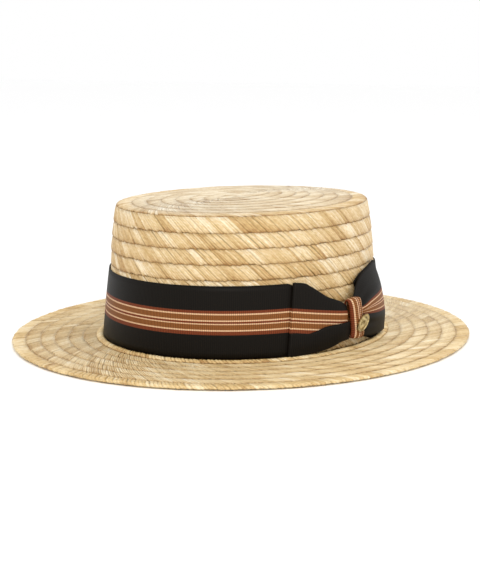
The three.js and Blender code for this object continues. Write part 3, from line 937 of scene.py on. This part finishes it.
def make_knot(material):
    """A striped ribbon wrapped over the pinched wings, with folds down its length."""
    around, across = 57, 21
    # The loop starts and ends at the back, where its seam is hidden.
    angle = np.linspace(math.pi, 3 * math.pi, around)[:, None]
    side = np.linspace(-1, 1, across)[None, :]

    def squared(x):
        return np.sign(x) * np.abs(x) ** 0.56

    outward = squared(np.cos(angle))
    face = np.clip(outward, 0, 1)
    waist = 1 - 0.13 * (1 - np.abs(np.sin(angle)) ** 2) * face
    # The folds are deepest at the face's lower end, where the ribbon is gathered.
    low_end = np.clip(0.25 - np.sin(angle), 0, 1.25) / 1.25
    creases = 0 * side + 0 * angle
    for place, deep, width in KNOT_FOLDS:
        lean = place * (1 - 0.25 * low_end)
        creases = creases + deep * (0.35 + 0.65 * low_end) * np.exp(-((side - lean) / width) ** 2)
    bulge = 0.7 * (1 - side ** 2) + 0.45 * np.exp(-((side + 0.65) / 0.3) ** 2)
    roll = np.abs(side) ** 4
    proud = KNOT_PROUD + outward * KNOT_DEEP + face * (bulge - creases - KNOT_ROLL * roll)
    turn = KNOT_SHIFT + side * KNOT_HALF_WIDTH * waist
    reach = KNOT_TALL + 0.35 * (1 - side ** 2) - 0.9 * roll
    height = KNOT_HEIGHT + squared(np.sin(angle)) * reach
    grid = crown_point(KNOT_TURN + turn + 0 * height, height * MM, (proud + 0 * height) * MM)
    grid[-1] = grid[0]
    along = run_along(grid)[:, None] + 0 * height
    uv = np.stack([along, 0.337 + (side + 1) / 2 * 0.326 + 0 * height], -1)
    knot = ribbon_sheet("bow_knot_ribbon", grid, uv, material, ("bow_knot",),
                        thickness=0.7 * MM)


# ---- Pin ----------------------------------------------------------------------------

def brass_material():
    material, tree, shader = new_material("old_brass")
    place = tree.nodes.new("ShaderNodeTexCoord")
    noise = tree.nodes.new("ShaderNodeTexNoise")
    noise.inputs["Scale"].default_value = 420.0
    noise.inputs["Detail"].default_value = 4.0
    colour = tree.nodes.new("ShaderNodeValToRGB")
    fill_ramp(colour, ((0.35, (0.16, 0.105, 0.035)), (0.68, (0.62, 0.49, 0.24))))
    rough = tree.nodes.new("ShaderNodeMapRange")
    rough.inputs["To Min"].default_value = 0.55
    rough.inputs["To Max"].default_value = 0.25
    tree.links.new(place.outputs["Object"], noise.inputs["Vector"])
    tree.links.new(noise.outputs["Fac"], colour.inputs["Fac"])
    tree.links.new(noise.outputs["Fac"], rough.inputs["Value"])
    tree.links.new(colour.outputs["Color"], shader.inputs["Base Color"])
    tree.links.new(rough.outputs["Result"], shader.inputs["Roughness"])
    shader.inputs["Metallic"].default_value = 1.0
    return material


PIN_HALF_WIDTH = 3.7 * MM
PIN_HALF_LENGTH = 7.1 * MM
PIN_THICK = 1.6 * MM
PIN_LEAN = -54
# How far the pin stands out, above and beside its place in the construction model.
PIN_OUT, PIN_UP, PIN_SIDE = 0.3 * MM, 1.9 * MM, -0.7 * MM


def make_pin(material):
    """A thin oval plate with a raised rim and a low domed middle, leaning on the knot."""
    low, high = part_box("brass_pin")
    centre = (low + high) / 2
    deselect()
    bpy.ops.mesh.primitive_cylinder_add(vertices=48, radius=1.0, depth=1.0, location=(0, 0, 0))
    pin = bpy.context.object
    pin.name = "oval_pin"
    bpy.ops.object.mode_set(mode="EDIT")
    mesh = bmesh.from_edit_mesh(pin.data)
    for face in mesh.faces:
        face.select_set(face.normal.z > 0.9)
    bmesh.update_edit_mesh(pin.data)
    bpy.ops.mesh.inset(thickness=0.16)
    bpy.ops.transform.translate(value=(0, 0, -0.3))
    bpy.ops.mesh.inset(thickness=0.12)
    bpy.ops.transform.translate(value=(0, 0, 0.12))
    for size, rise in ((0.72, 0.22), (0.5, 0.12)):
        bpy.ops.mesh.inset(thickness=0.2)
        bpy.ops.transform.translate(value=(0, 0, rise))
    bpy.ops.object.mode_set(mode="OBJECT")
    pin.scale = (PIN_HALF_WIDTH, PIN_HALF_LENGTH, PIN_THICK)
    bpy.ops.object.transform_apply(location=False, rotation=False, scale=True)
    apply_modifier(pin, "BEVEL", width=0.25 * MM, segments=2, limit_method="ANGLE")
    turn = math.radians(KNOT_TURN)
    out = Vector((math.cos(turn), math.sin(turn), 0.12))
    out.normalize()
    side = Vector((0, 0, 1)).cross(out).normalized()
    up = out.cross(side)
    lean = Matrix.Rotation(math.radians(PIN_LEAN), 4, "Z")
    basis = Matrix((side, up, out)).transposed().to_4x4()
    centre += out * PIN_OUT + up * PIN_UP + side * PIN_SIDE
    pin.data.transform(Matrix.Translation(centre) @ basis @ lean)
    pin.data.update()
    deselect()
    pin.select_set(True)
    bpy.context.view_layer.objects.active = pin
    bpy.ops.object.shade_smooth_by_angle(angle=math.radians(40))
    deselect()
    finish_piece(pin, material, ("brass_pin",))


# ---- The hat ------------------------------------------------------------------------

deselect()
add_camera()
add_studio()
crown_straw = straw_material("crown_straw", CROWN_RAMP, SEAM_SHADOW_COLOUR, 0.8)
tip_straw = straw_material("tip_straw", TIP_RAMP, SEAM_SHADOW_COLOUR, 0.4)
brim_straw = straw_material("brim_straw", BRIM_RAMP, SEAM_SHADOW_COLOUR, 0.5)
edge_straw = straw_material("edge_straw", EDGE_RAMP, SEAM_SHADOW_COLOUR, 0.4)
behind = wall_material()
make_crown(crown_straw, tip_straw, behind)
make_brim(brim_straw, edge_straw, behind)
ribbon = ribbon_material("striped_ribbon")
make_band(ribbon)
make_front_wing(ribbon)
make_back_wing(ribbon)
make_knot(ribbon)
make_pin(brass_material())
